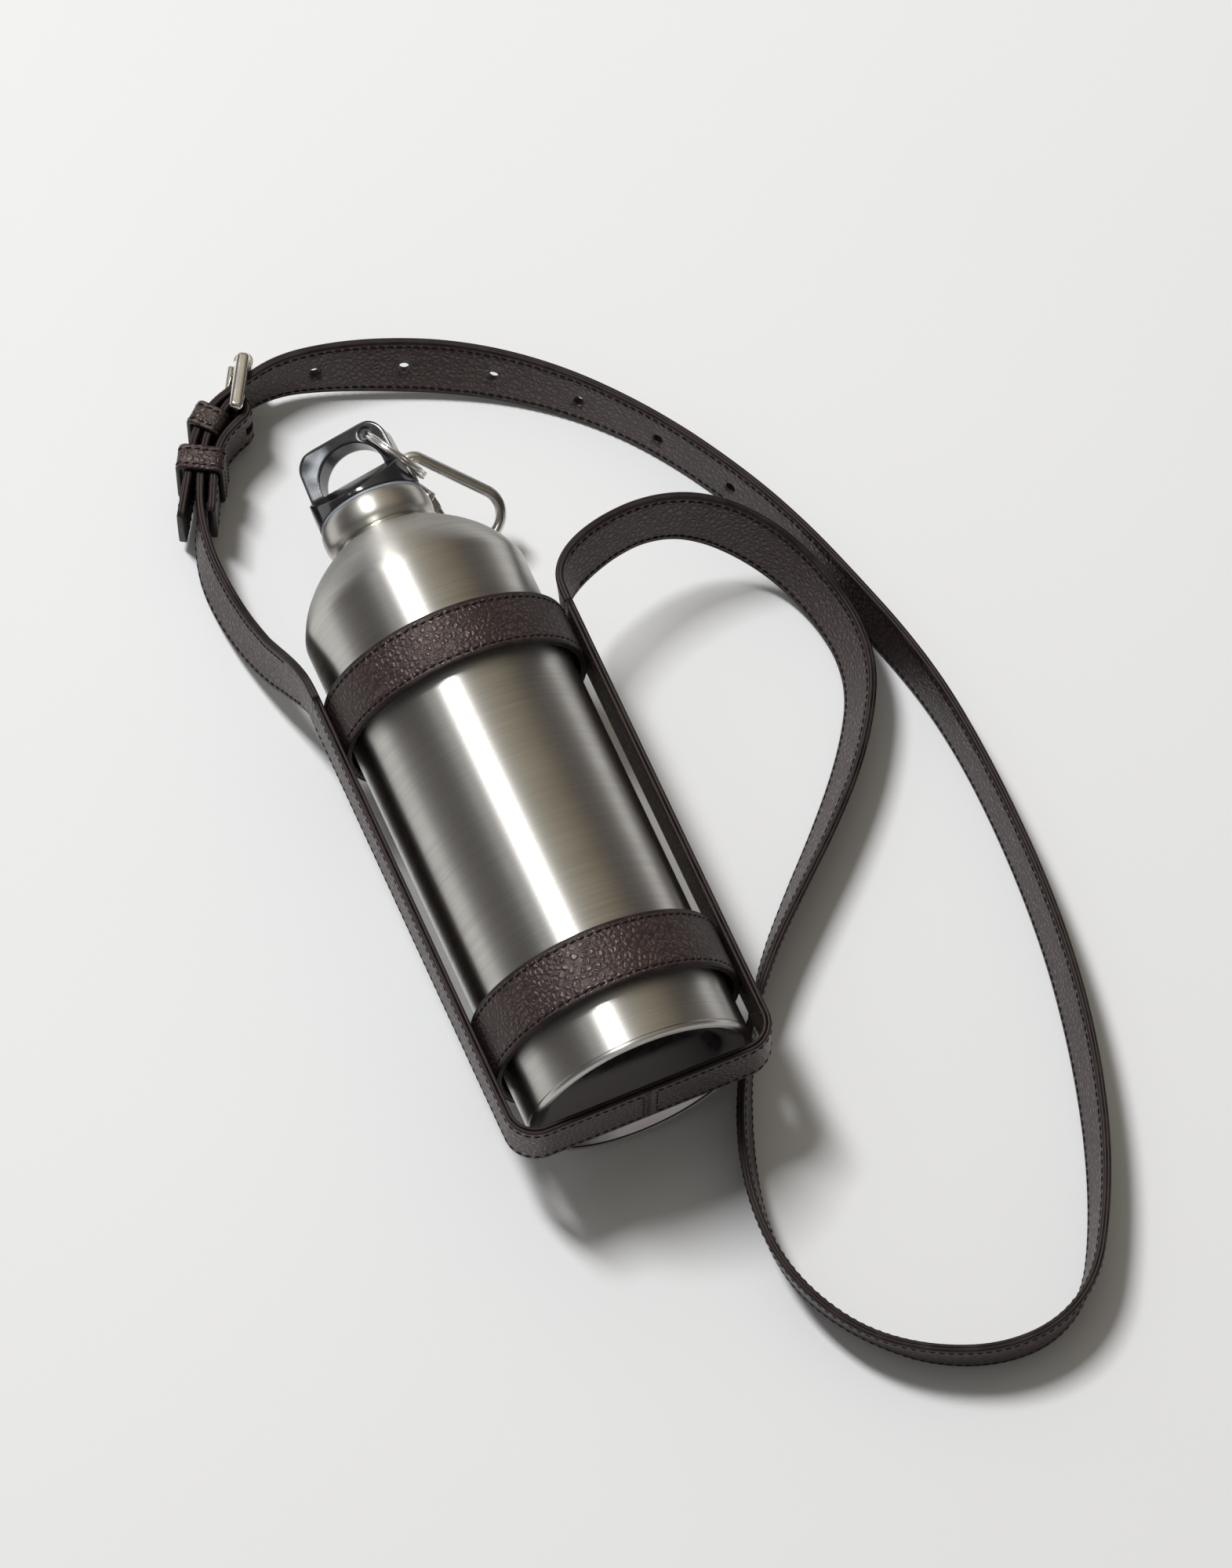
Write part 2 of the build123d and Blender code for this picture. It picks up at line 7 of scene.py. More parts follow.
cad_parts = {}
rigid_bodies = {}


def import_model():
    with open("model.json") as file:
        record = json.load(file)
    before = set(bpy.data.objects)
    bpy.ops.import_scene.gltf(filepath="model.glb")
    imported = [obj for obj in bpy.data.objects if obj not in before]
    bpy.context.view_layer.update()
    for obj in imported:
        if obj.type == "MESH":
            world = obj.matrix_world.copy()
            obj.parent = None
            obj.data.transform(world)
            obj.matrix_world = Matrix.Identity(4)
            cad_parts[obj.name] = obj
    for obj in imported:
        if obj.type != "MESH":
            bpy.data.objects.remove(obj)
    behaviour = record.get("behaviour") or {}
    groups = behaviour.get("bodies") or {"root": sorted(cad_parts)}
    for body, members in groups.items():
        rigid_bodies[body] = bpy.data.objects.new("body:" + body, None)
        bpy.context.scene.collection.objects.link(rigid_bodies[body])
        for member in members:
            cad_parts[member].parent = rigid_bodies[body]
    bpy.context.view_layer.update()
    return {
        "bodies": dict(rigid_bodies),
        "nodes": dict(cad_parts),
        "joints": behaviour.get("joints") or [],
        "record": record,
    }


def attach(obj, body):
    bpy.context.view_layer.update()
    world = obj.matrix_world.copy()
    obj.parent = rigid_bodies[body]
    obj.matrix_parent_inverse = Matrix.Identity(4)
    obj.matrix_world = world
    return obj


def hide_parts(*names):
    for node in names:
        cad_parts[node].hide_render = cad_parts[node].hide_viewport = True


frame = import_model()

# A steel sports bottle in a dark leather sling, lying on a pale floor.
# Everything is in metres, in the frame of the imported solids. Lengths written in mm end in Mm.
mm = 0.001
scene = bpy.context.scene


# Camera, at the photograph's angle
camera = {
    "place": (-0.4213, -1.06865, 2.5796),
    "lookAt": (0.0396, -0.00405, 0.0),
    "lens": 209.6,
    "frameHeight": 36.0,
}


def addCamera():
    data = bpy.data.cameras.new("photoCamera")
    data.sensor_fit = "VERTICAL"
    data.sensor_height = camera["frameHeight"]
    data.lens = camera["lens"]
    holder = bpy.data.objects.new("photoCamera", data)
    scene.collection.objects.link(holder)
    aim = Vector(camera["lookAt"]) - Vector(camera["place"])
    holder.location = camera["place"]
    holder.rotation_euler = aim.to_track_quat("-Z", "Y").to_euler()
    scene.camera = holder


addCamera()
scene.view_settings.view_transform = "Standard"
print("camera set")


# Node materials
def newFinish(name, **sockets):
    finish = bpy.data.materials.new(name)
    finish.use_nodes = True
    shader = finish.node_tree.nodes["Principled BSDF"]
    for socket, value in sockets.items():
        shader.inputs[socket.replace("_", " ")].default_value = value
    return finish, finish.node_tree, shader


def addNode(tree, kind, inputs=None, **settings):
    node = tree.nodes.new(kind)
    for name, value in settings.items():
        setattr(node, name, value)
    for name, value in (inputs or {}).items():
        if isinstance(value, bpy.types.NodeSocket):
            tree.links.new(value, node.inputs[name])
        else:
            node.inputs[name].default_value = value
    return node


def blendOf(tree, share, low, high):
    # share is a socket from 0 to 1, low and high are colours or sockets
    node = addNode(tree, "ShaderNodeMix", data_type="RGBA")
    for place, value in ((0, share), (6, low), (7, high)):
        if isinstance(value, bpy.types.NodeSocket):
            tree.links.new(value, node.inputs[place])
        else:
            node.inputs[place].default_value = value
    return node.outputs[2]


def spanOf(tree, value, low, high, toLow=0, toHigh=1, **settings):
    node = addNode(tree, "ShaderNodeMapRange", {"Value": value, "From Min": low, "From Max": high,
                                                "To Min": toLow, "To Max": toHigh}, **settings)
    return node.outputs["Result"]


def placeOf(tree):
    return addNode(tree, "ShaderNodeTexCoord").outputs["Object"]


def noiseOf(tree, place, scale, detail, **more):
    node = addNode(tree, "ShaderNodeTexNoise", {"Vector": place, "Scale": scale, "Detail": detail, **more})
    return node.outputs["Fac"]


def mathOf(tree, operation, one, other):
    return addNode(tree, "ShaderNodeMath", {0: one, 1: other}, operation=operation).outputs[0]


def vectorOf(tree, operation, inputs):
    return addNode(tree, "ShaderNodeVectorMath", inputs, operation=operation).outputs[0]


def turnedMarks(tree, place, across, lines, detail):
    # noise drawn out round the bottle: `lines` for each metre of its axis, `across` the other ways
    stretched = addNode(tree, "ShaderNodeMapping", {"Vector": place, "Scale": (across, lines, across)})
    return noiseOf(tree, stretched.outputs[0], 1.0, detail)


def turnTangent(tree, shader):
    tangent = addNode(tree, "ShaderNodeTangent", direction_type="RADIAL", axis="Y")
    tree.links.new(tangent.outputs[0], shader.inputs["Tangent"])


def addBump(tree, shader, height, heightMm, under=None):
    node = addNode(tree, "ShaderNodeBump", {"Height": height, "Distance": heightMm * mm, "Strength": 1.0})
    if under is not None:
        tree.links.new(under, node.inputs["Normal"])
    tree.links.new(node.outputs["Normal"], shader.inputs["Normal"])


# Scales are in cells for each metre
leather = {
    # creaseShade is painted shade, darkening the grain's creases
    "creaseShade": (0.006, 0.0035, 0.004, 1),
    "pebble": (0.025, 0.0135, 0.0145, 1),
    "worn": (0.036, 0.021, 0.0215, 1),
    "sheen": (1.0, 0.86, 0.80, 1),
    "roughness": (0.31, 0.50),
    "cellScale": 540.0,
    "fineCells": 2.3,             # times as many of the small cells
    "cellEdge": 0.38,             # where a pebble reaches its full height, from its crease
    "fineEdge": 0.22,
    "creaseShadeEdge": (0.03, 0.14),
    "wanderScale": 420.0,
    "wanderMetres": 0.0011,
    "poreScale": 2600.0,
    "patchScale": 38.0,
    "fineShare": 0.12,            # of a pebble's height
    "poreShare": 0.1,
    "bumpMm": 0.20,
}


def leatherFinish():
    made = leather
    finish, tree, shader = newFinish("pebbledLeather", Specular_IOR_Level=0.7, Specular_Tint=made["sheen"])
    place = placeOf(tree)
    wander = addNode(tree, "ShaderNodeTexNoise", {"Vector": place, "Scale": made["wanderScale"],
                                                  "Detail": 3.0})
    bent = vectorOf(tree, "SUBTRACT", {0: wander.outputs["Color"], 1: (0.5, 0.5, 0.5)})
    bent = vectorOf(tree, "SCALE", {0: bent, "Scale": made["wanderMetres"]})
    bent = vectorOf(tree, "ADD", {0: place, 1: bent})
    cells, small = [addNode(tree, "ShaderNodeTexVoronoi", {"Vector": bent, "Scale": scale},
                            feature="DISTANCE_TO_EDGE").outputs["Distance"]
                    for scale in (made["cellScale"], made["fineCells"] * made["cellScale"])]
    pebble = spanOf(tree, cells, 0.0, made["cellEdge"], interpolation_type="SMOOTHSTEP")
    fine = spanOf(tree, small, 0.0, made["fineEdge"], interpolation_type="SMOOTHSTEP")
    pores = noiseOf(tree, place, made["poreScale"], 4.0)
    patches = noiseOf(tree, place, made["patchScale"], 3.0)
    height = mathOf(tree, "ADD", pebble, mathOf(tree, "MULTIPLY", fine, made["fineShare"]))
    height = mathOf(tree, "ADD", height, mathOf(tree, "MULTIPLY", pores, made["poreShare"]))
    body = blendOf(tree, spanOf(tree, patches, 0.35, 0.65), made["pebble"], made["worn"])
    # the crease colour is painted shade in the creases between the pebbles
    colour = blendOf(tree, spanOf(tree, cells, *made["creaseShadeEdge"]), made["creaseShade"], body)
    tree.links.new(colour, shader.inputs["Base Color"])
    low, high = made["roughness"]
    tree.links.new(spanOf(tree, pebble, 0, 1, high, low), shader.inputs["Roughness"])
    addBump(tree, shader, height, made["bumpMm"])
    return finish


edgePaint = {
    "base": (0.010, 0.007, 0.008, 1),
    "rubbed": (0.026, 0.019, 0.019, 1),
    "roughness": (0.42, 0.56),
    "rubScale": 160.0,
    "grainScale": 1500.0,
    "bumpMm": 0.05,
}


def edgeFinish():
    made = edgePaint
    finish, tree, shader = newFinish("paintedLeatherEdge", Specular_IOR_Level=0.3,
                                     Specular_Tint=leather["sheen"])
    place = placeOf(tree)
    rub = noiseOf(tree, place, made["rubScale"], 5.0)
    grain = noiseOf(tree, place, made["grainScale"], 3.0)
    colour = blendOf(tree, spanOf(tree, rub, 0.4, 0.7), made["base"], made["rubbed"])
    tree.links.new(colour, shader.inputs["Base Color"])
    tree.links.new(spanOf(tree, rub, 0.3, 0.7, *made["roughness"]), shader.inputs["Roughness"])
    addBump(tree, shader, grain, made["bumpMm"])
    return finish


thread = {
    "dark": (0.003, 0.0022, 0.0028, 1),
    "light": (0.010, 0.007, 0.0075, 1),
    "twistScale": 900.0,
    "bumpMm": 0.05,
}


def threadFinish():
    finish, tree, shader = newFinish("waxedThread", Roughness=0.8, Specular_IOR_Level=0.2)
    twist = addNode(tree, "ShaderNodeTexWave", {"Vector": placeOf(tree), "Scale": thread["twistScale"],
                                                "Distortion": 1.5}, bands_direction="DIAGONAL")
    colour = blendOf(tree, twist.outputs["Fac"], thread["dark"], thread["light"])
    tree.links.new(colour, shader.inputs["Base Color"])
    addBump(tree, shader, twist.outputs["Fac"], thread["bumpMm"])
    return finish


brushed = {
    "colour": (0.61, 0.595, 0.565, 1),
    "shade": (0.545, 0.53, 0.50, 1),
    "roughness": (0.35, 0.42),
    "anisotropy": 0.86,
    "marks": (30.0, 2800.0),      # across and along the axis, for each metre
    "bands": (9.0, 900.0),
    "spread": (0.75, 1.25),
    "bumpMm": 0.002,
}


def brushedFinish():
    # brush marks run round the bottle, so they are fine along its axis and long round it
    made = brushed
    finish, tree, shader = newFinish("brushedSteel", Metallic=1.0, Anisotropic=made["anisotropy"],
                                     Anisotropic_Rotation=0.25)
    turnTangent(tree, shader)
    place = placeOf(tree)
    both = mathOf(tree, "ADD", turnedMarks(tree, place, *made["marks"], 2.0),
                  turnedMarks(tree, place, *made["bands"], 3.0))
    colour = blendOf(tree, spanOf(tree, both, *made["spread"]), made["shade"], made["colour"])
    tree.links.new(colour, shader.inputs["Base Color"])
    low, high = made["roughness"]
    tree.links.new(spanOf(tree, both, *made["spread"], high, low), shader.inputs["Roughness"])
    addBump(tree, shader, both, made["bumpMm"])
    return finish


satin = {
    "dark": (0.50, 0.48, 0.45, 1),
    "light": (0.66, 0.64, 0.60, 1),
    "roughness": (0.33, 0.42),
    "anisotropy": 0.6,
    "marks": (60.0, 3600.0),
    "bumpMm": 0.0015,
}


def satinFinish():
    made = satin
    finish, tree, shader = newFinish("satinSteel", Metallic=1.0, Anisotropic=made["anisotropy"],
                                     Anisotropic_Rotation=0.25)
    turnTangent(tree, shader)
    marks = turnedMarks(tree, placeOf(tree), *made["marks"], 3.0)
    tree.links.new(blendOf(tree, marks, made["dark"], made["light"]), shader.inputs["Base Color"])
    low, high = made["roughness"]
    tree.links.new(spanOf(tree, marks, 0.3, 0.7, high, low), shader.inputs["Roughness"])
    addBump(tree, shader, marks, made["bumpMm"])
    return finish


metals = {
    # the dish's colour is painted shade: its steel is set far darker than steel, so the recess reads dark
    "dish": {"name": "polishedDishPaintedShade", "colour": (0.30, 0.275, 0.28, 1), "roughness": (0.10, 0.18),
             "scratchMm": 0.004, "bevelMm": 0.3},
    "wire": {"name": "polishedSteelWire", "colour": (0.84, 0.825, 0.80, 1), "roughness": (0.15, 0.25),
             "scratchMm": 0.01, "bevelMm": 0.3},
    "chrome": {"name": "warmChrome", "colour": (0.80, 0.77, 0.70, 1), "roughness": (0.05, 0.13),
               "scratchMm": 0.006, "bevelMm": 0.6},
}
polish = {"hazeShade": 0.82, "hazeScale": 260.0, "scratchScale": 2200.0}


def polishedFinish(metal):
    finish, tree, shader = newFinish(metal["name"], Metallic=1.0)
    place = placeOf(tree)
    haze = noiseOf(tree, place, polish["hazeScale"], 5.0)
    scratch = noiseOf(tree, place, polish["scratchScale"], 2.0)
    dark = tuple(polish["hazeShade"] * c for c in metal["colour"][:3]) + (1,)
    tree.links.new(blendOf(tree, haze, dark, metal["colour"]), shader.inputs["Base Color"])
    tree.links.new(spanOf(tree, haze, 0.35, 0.7, *metal["roughness"]), shader.inputs["Roughness"])
    rounded = addNode(tree, "ShaderNodeBevel", {"Radius": metal["bevelMm"] * mm}, samples=6)
    addBump(tree, shader, scratch, metal["scratchMm"], rounded.outputs[0])
    return finish


capPlastic = {
    "colour": (0.0085, 0.0088, 0.0105, 1),
    "worn": (0.014, 0.0145, 0.017, 1),
    "roughness": (0.08, 0.15),
    "smearScale": 120.0,
    "rippleScale": 75.0,
    "rippleMm": 0.20,
    "bevelMm": 1.2,
    "axisMm": 39.2,
    "crown": 4.5,                 # how far a normal leans, for each metre from the axis
}


def capFinish():
    made = capPlastic
    finish, tree, shader = newFinish("glossyBlackPlastic", Specular_IOR_Level=0.9)
    place = placeOf(tree)
    smear = noiseOf(tree, place, made["smearScale"], 4.0, Distortion=1.2)
    ripple = noiseOf(tree, place, made["rippleScale"], 1.0)
    colour = blendOf(tree, spanOf(tree, smear, 0.4, 0.7), made["colour"], made["worn"])
    tree.links.new(colour, shader.inputs["Base Color"])
    tree.links.new(spanOf(tree, smear, 0.3, 0.75, *made["roughness"]), shader.inputs["Roughness"])
    # the moulded faces are softly rounded, and a little fuller than flat
    soft = addNode(tree, "ShaderNodeBevel", {"Radius": made["bevelMm"] * mm}, samples=8)
    own = addNode(tree, "ShaderNodeVectorTransform", {0: soft.outputs[0]}, vector_type="NORMAL",
                  convert_from="WORLD", convert_to="OBJECT")
    away = vectorOf(tree, "SUBTRACT", {0: place, 1: (0, 0, made["axisMm"] * mm)})
    fuller = vectorOf(tree, "MULTIPLY", {0: away, 1: (made["crown"], 0, made["crown"])})
    fuller = vectorOf(tree, "ADD", {0: own.outputs[0], 1: fuller})
    fuller = vectorOf(tree, "NORMALIZE", {0: fuller})
    faced = addNode(tree, "ShaderNodeVectorTransform", {0: fuller}, vector_type="NORMAL",
                    convert_from="OBJECT", convert_to="WORLD")
    addBump(tree, shader, ripple, made["rippleMm"], faced.outputs[0])
    return finish


rubber = {
    "dark": (0.20, 0.22, 0.265, 1),
    "light": (0.30, 0.325, 0.375, 1),
    "cloudScale": 300.0,
    "bumpMm": 0.03,
}


def rubberFinish():
    finish, tree, shader = newFinish("gasketRubber", Roughness=0.42, Subsurface_Weight=0.1)
    cloud = noiseOf(tree, placeOf(tree), rubber["cloudScale"], 3.0)
    tree.links.new(blendOf(tree, cloud, rubber["dark"], rubber["light"]), shader.inputs["Base Color"])
    addBump(tree, shader, cloud, rubber["bumpMm"])
    return finish


finishes = {
    "leather": leatherFinish(),
    "edge": edgeFinish(),
    "thread": threadFinish(),
    "brushed": brushedFinish(),
    "satin": satinFinish(),
    "dish": polishedFinish(metals["dish"]),
    "wire": polishedFinish(metals["wire"]),
    "chrome": polishedFinish(metals["chrome"]),
    "cap": capFinish(),
    "rubber": rubberFinish(),
}


def dress(node, finish):
    mesh = frame["nodes"][node].data
    mesh.materials.clear()
    mesh.materials.append(finishes[finish])


nodeFinishes = {
    "bottle_body": "brushed",
    "base_disc": "dish",
    "neck_collar": "satin",
    "cap": "cap",
    "cap_gasket": "rubber",
    "split_ring": "wire",
    "carabiner_body": "wire",
    "carabiner_gate": "wire",
    "gate_rivet": "wire",
    "buckle_frame": "chrome",
    "buckle_roller": "chrome",
    "buckle_prong": "chrome",
}
for node, finish in nodeFinishes.items():
    dress(node, finish)
print("finishes made")


# Leather strips: a section carried along frames of (place, ahead, up, out)
strap = {
    "widthMm": 20.0,
    "thicknessMm": 2.6,
    "stitchInMm": 2.1,        # from the strap's edge to the stitches
    "stitchPitchMm": 2.75,
    "stitchLongMm": 2.05,
    "stitchThickMm": 0.62,
    "stitchLean": 0.14,       # sideways for each step ahead
    "stitchDip": 0.45,        # of half its thickness, at both ends
    "stitchSunkMm": 0.02,
    "stepsPerPoint": 8,       # of a route
    "punchMm": 5.0,           # half the length of a hole's cutter
    "punchSides": 28,
}

# One quarter of the section: share of half the thickness, and mm in from the edge
twoLayerQuarter = [(0.0, 0.22), (0.1, 0.08), (0.25, 0.02), (0.45, 0.0), (0.7, 0.1), (0.88, 0.34),
                   (0.97, 0.7), (1.0, 1.15), (1.0, 1.6), (0.93, 1.85), (0.9, 2.1), (0.93, 2.35),
                   (1.0, 2.65), (1.01, 3.6), (1.02, 5.2)]
oneLayerQuarter = [(0.0, 0.0), (0.4, 0.02), (0.75, 0.14), (0.94, 0.42), (1.0, 0.9), (1.0, 1.6),
                   (0.94, 1.85), (0.91, 2.1), (0.94, 2.35), (1.0, 2.65), (1.0, 4.0)]


def leatherSection(quarter, widthMm, thicknessMm):
    half = thicknessMm / 2
    corner = [(half * share, widthMm / 2 - inset) for share, inset in quarter]
    ring = corner + [(a, -b) for a, b in reversed(corner)]
    ring += [(-a, -b) for a, b in corner if a > 0] + [(-a, b) for a, b in reversed(corner) if a > 0]
    return [(a * mm, b * mm) for a, b in ring]


def framesOf(places, ups, closed=False):
    # up is squared to the run, and out is to the right of travel
    count = len(places)
    frames = []
    for i, place in enumerate(places):
        before = places[i - 1] if i > 0 or closed else place
        after = places[(i + 1) % count] if i < count - 1 or closed else place
        ahead = (after - before).normalized()
        up = (ups[i] - ahead * ups[i].dot(ahead)).normalized()
        frames.append((place, ahead, up, ahead.cross(up)))
    return frames


def stripMesh(name, frames, section, widthMm, closed=False, edgeMm=1.0):
    points = [place + out * a + up * b for place, ahead, up, out in frames for a, b in section]
    ring, count = len(section), len(frames)
    faces, kinds = [], []
    edge = (widthMm / 2 - edgeMm) * mm
    for i in range(count if closed else count - 1):
        one, two = i * ring, ((i + 1) % count) * ring
        for k in range(ring):
            m = (k + 1) % ring
            faces.append((one + k, two + k, two + m, one + m))
            middle = (section[k][1] + section[m][1]) / 2
            kinds.append(1 if abs(middle) > edge else 0)
    if not closed:
        faces.append(tuple(range(ring)))
        faces.append(tuple(reversed(range((count - 1) * ring, count * ring))))
        kinds += [1, 1]
    mesh = bpy.data.meshes.new(name)
    mesh.from_pydata(points, [], faces)
    mesh.materials.append(finishes["leather"])
    mesh.materials.append(finishes["edge"])
    for face, kind in zip(mesh.polygons, kinds):
        face.material_index = kind
        face.use_smooth = True
    fixed = bmesh.new()
    fixed.from_mesh(mesh)
    bmesh.ops.recalc_face_normals(fixed, faces=fixed.faces)
    fixed.to_mesh(mesh)
    fixed.free()
    return mesh


def addPiece(name, mesh, body, nodes=()):
    piece = bpy.data.objects.new(name, mesh)
    scene.collection.objects.link(piece)
    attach(piece, body)
    if nodes:
        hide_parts(*nodes)
    return piece


def drillMesh(mesh, tools):
    # cuts round or square holes; a tool is (middle, axis, radius), or (matrix,) for a box
    work = bpy.data.objects.new("work", mesh)
    cut = bmesh.new()
    for tool in tools:
        if len(tool) == 1:
            bmesh.ops.create_cube(cut, size=1.0, matrix=tool[0])
            continue
        middle, axis, radius = tool
        turn = Matrix.Translation(middle) @ axis.to_track_quat("Z", "Y").to_matrix().to_4x4()
        bmesh.ops.create_cone(cut, cap_ends=True, segments=strap["punchSides"], radius1=radius,
                              radius2=radius, depth=2 * strap["punchMm"] * mm, matrix=turn)
    cutMesh = bpy.data.meshes.new("cut")
    cut.to_mesh(cutMesh)
    cut.free()
    cutMesh.materials.append(finishes["leather"])
    cutMesh.materials.append(finishes["edge"])
    for face in cutMesh.polygons:
        face.material_index = 1
    cutter = bpy.data.objects.new("cutter", cutMesh)
    for helper in (work, cutter):
        scene.collection.objects.link(helper)
    punch = work.modifiers.new("punch", "BOOLEAN")
    punch.object = cutter
    punch.operation = "DIFFERENCE"
    punch.solver = "EXACT"
    bpy.context.view_layer.update()
    result = bpy.data.meshes.new_from_object(work.evaluated_get(bpy.context.evaluated_depsgraph_get()))
    result.name = mesh.name
    for helper in (work, cutter):
        bpy.data.objects.remove(helper)
    bpy.data.meshes.remove(cutMesh)
    return result


def along(frames, pitch, first, last):
    # frames at even steps, from `first` to `last` metres; a last of 0 or less counts from the far end
    steps = [0.0]
    for a, b in zip(frames, frames[1:]):
        steps.append(steps[-1] + (b[0] - a[0]).length)
    last = steps[-1] + last if last <= 0 else last
    count = max(1, round((last - first) / pitch))
    found, k = [], 0
    for i in range(count):
        want = first + (i + 0.5) * (last - first) / count
        while k < len(steps) - 2 and steps[k + 1] < want:
            k += 1
        share = (want - steps[k]) / max(steps[k + 1] - steps[k], 1e-9)
        a, b = frames[k], frames[k + 1]
        found.append((a[0].lerp(b[0], share), *[a[j].lerp(b[j], share).normalized() for j in (1, 2, 3)]))
    return found


def frameAt(frames, farMm):
    return along(frames, 1.0, (farMm - 0.1) * mm, (farMm + 0.1) * mm)[0]


def stitchShape(rings=5, around=6):
    # a short rounded bar along x, from -1 to 1
    shape = []
    for i in range(rings):
        x = -1 + 2 * i / (rings - 1)
        wide = (1 - (0.93 * x) ** 4) ** 0.5
        for k in range(around):
            turn = 2 * math.pi * k / around
            shape.append((x, wide * math.cos(turn), wide * math.sin(turn)))
    faces = []
    for i in range(rings - 1):
        one, two = i * around, (i + 1) * around
        for k in range(around):
            m = (k + 1) % around
            faces.append((one + k, one + m, two + m, two + k))
    faces += [tuple(reversed(range(around))), tuple(range((rings - 1) * around, rings * around))]
    return shape, faces


def stitchMesh(name, rows):
    # rows of (place, ahead, side, out); each stitch leans a little, as a saddle stitch does
    shape, faces = stitchShape()
    points, every = [], []
    long, thick = strap["stitchLongMm"] * mm / 2, strap["stitchThickMm"] * mm / 2
    for place, ahead, side, out in rows:
        start = len(points)
        lean = (ahead + strap["stitchLean"] * side).normalized()
        across = out.cross(lean)
        for x, y, z in shape:
            dip = strap["stitchDip"] * thick * x * x
            points.append(place + lean * (x * long) + across * (y * thick) + out * (z * thick - dip))
        every += [tuple(start + k for k in face) for face in faces]
    mesh = bpy.data.meshes.new(name)
    mesh.from_pydata(points, [], every)
    mesh.materials.append(finishes["thread"])
    for face in mesh.polygons:
        face.use_smooth = True
    return mesh


def addStitches(name, rows, body="holder"):
    return addPiece(name + "Stitches", stitchMesh(name + "Stitches", rows), body)


def edgeRows(frames, widthMm, thicknessMm, first, last, sides=(1, -1)):
    # stitches along both edges, on the faces asked for
    rows = []
    reach = (widthMm / 2 - strap["stitchInMm"]) * mm
    proud = (thicknessMm / 2 - strap["stitchSunkMm"]) * mm
    for place, ahead, up, out in along(frames, strap["stitchPitchMm"] * mm, first * mm, last * mm):
        for side in sides:
            for edge in (1, -1):
                rows.append((place + up * (edge * reach) + out * (side * proud), ahead, up, out * side))
    return rows


def crossRow(frame, widthMm, thicknessMm, aheadMm, side):
    # a row across the strap, `aheadMm` along it from the frame
    place, ahead, up, out = frame
    reach = (widthMm / 2 - strap["stitchInMm"]) * mm
    count = round(2 * reach / (strap["stitchPitchMm"] * mm))
    rows = []
    for i in range(count):
        high = -reach + (i + 0.5) * 2 * reach / count
        proud = side * (thicknessMm / 2 - strap["stitchSunkMm"]) * mm
        rows.append((place + ahead * (aheadMm * mm) + up * high + out * proud, up, ahead, out * side))
    return rows


def outerSide(frames, middle):
    return 1 if (frames[0][0] - middle).dot(frames[0][3]) > 0 else -1


def smoothRun(points):
    # the points of a smooth curve with these control points
    line = bpy.data.curves.new("run", "CURVE")
    line.dimensions = "3D"
    line.resolution_u = strap["stepsPerPoint"]
    spline = line.splines.new("NURBS")
    spline.points.add(len(points) - 1)
    for dot, place in zip(spline.points, points):
        dot.co = (*place, 1)
    spline.order_u = 3
    spline.use_endpoint_u = True
    holder = bpy.data.objects.new("run", line)
    scene.collection.objects.link(holder)
    mesh = bpy.data.meshes.new_from_object(holder)
    run = [corner.co.copy() for corner in mesh.vertices]
    bpy.data.objects.remove(holder)
    bpy.data.curves.remove(line)
    bpy.data.meshes.remove(mesh)
    return run


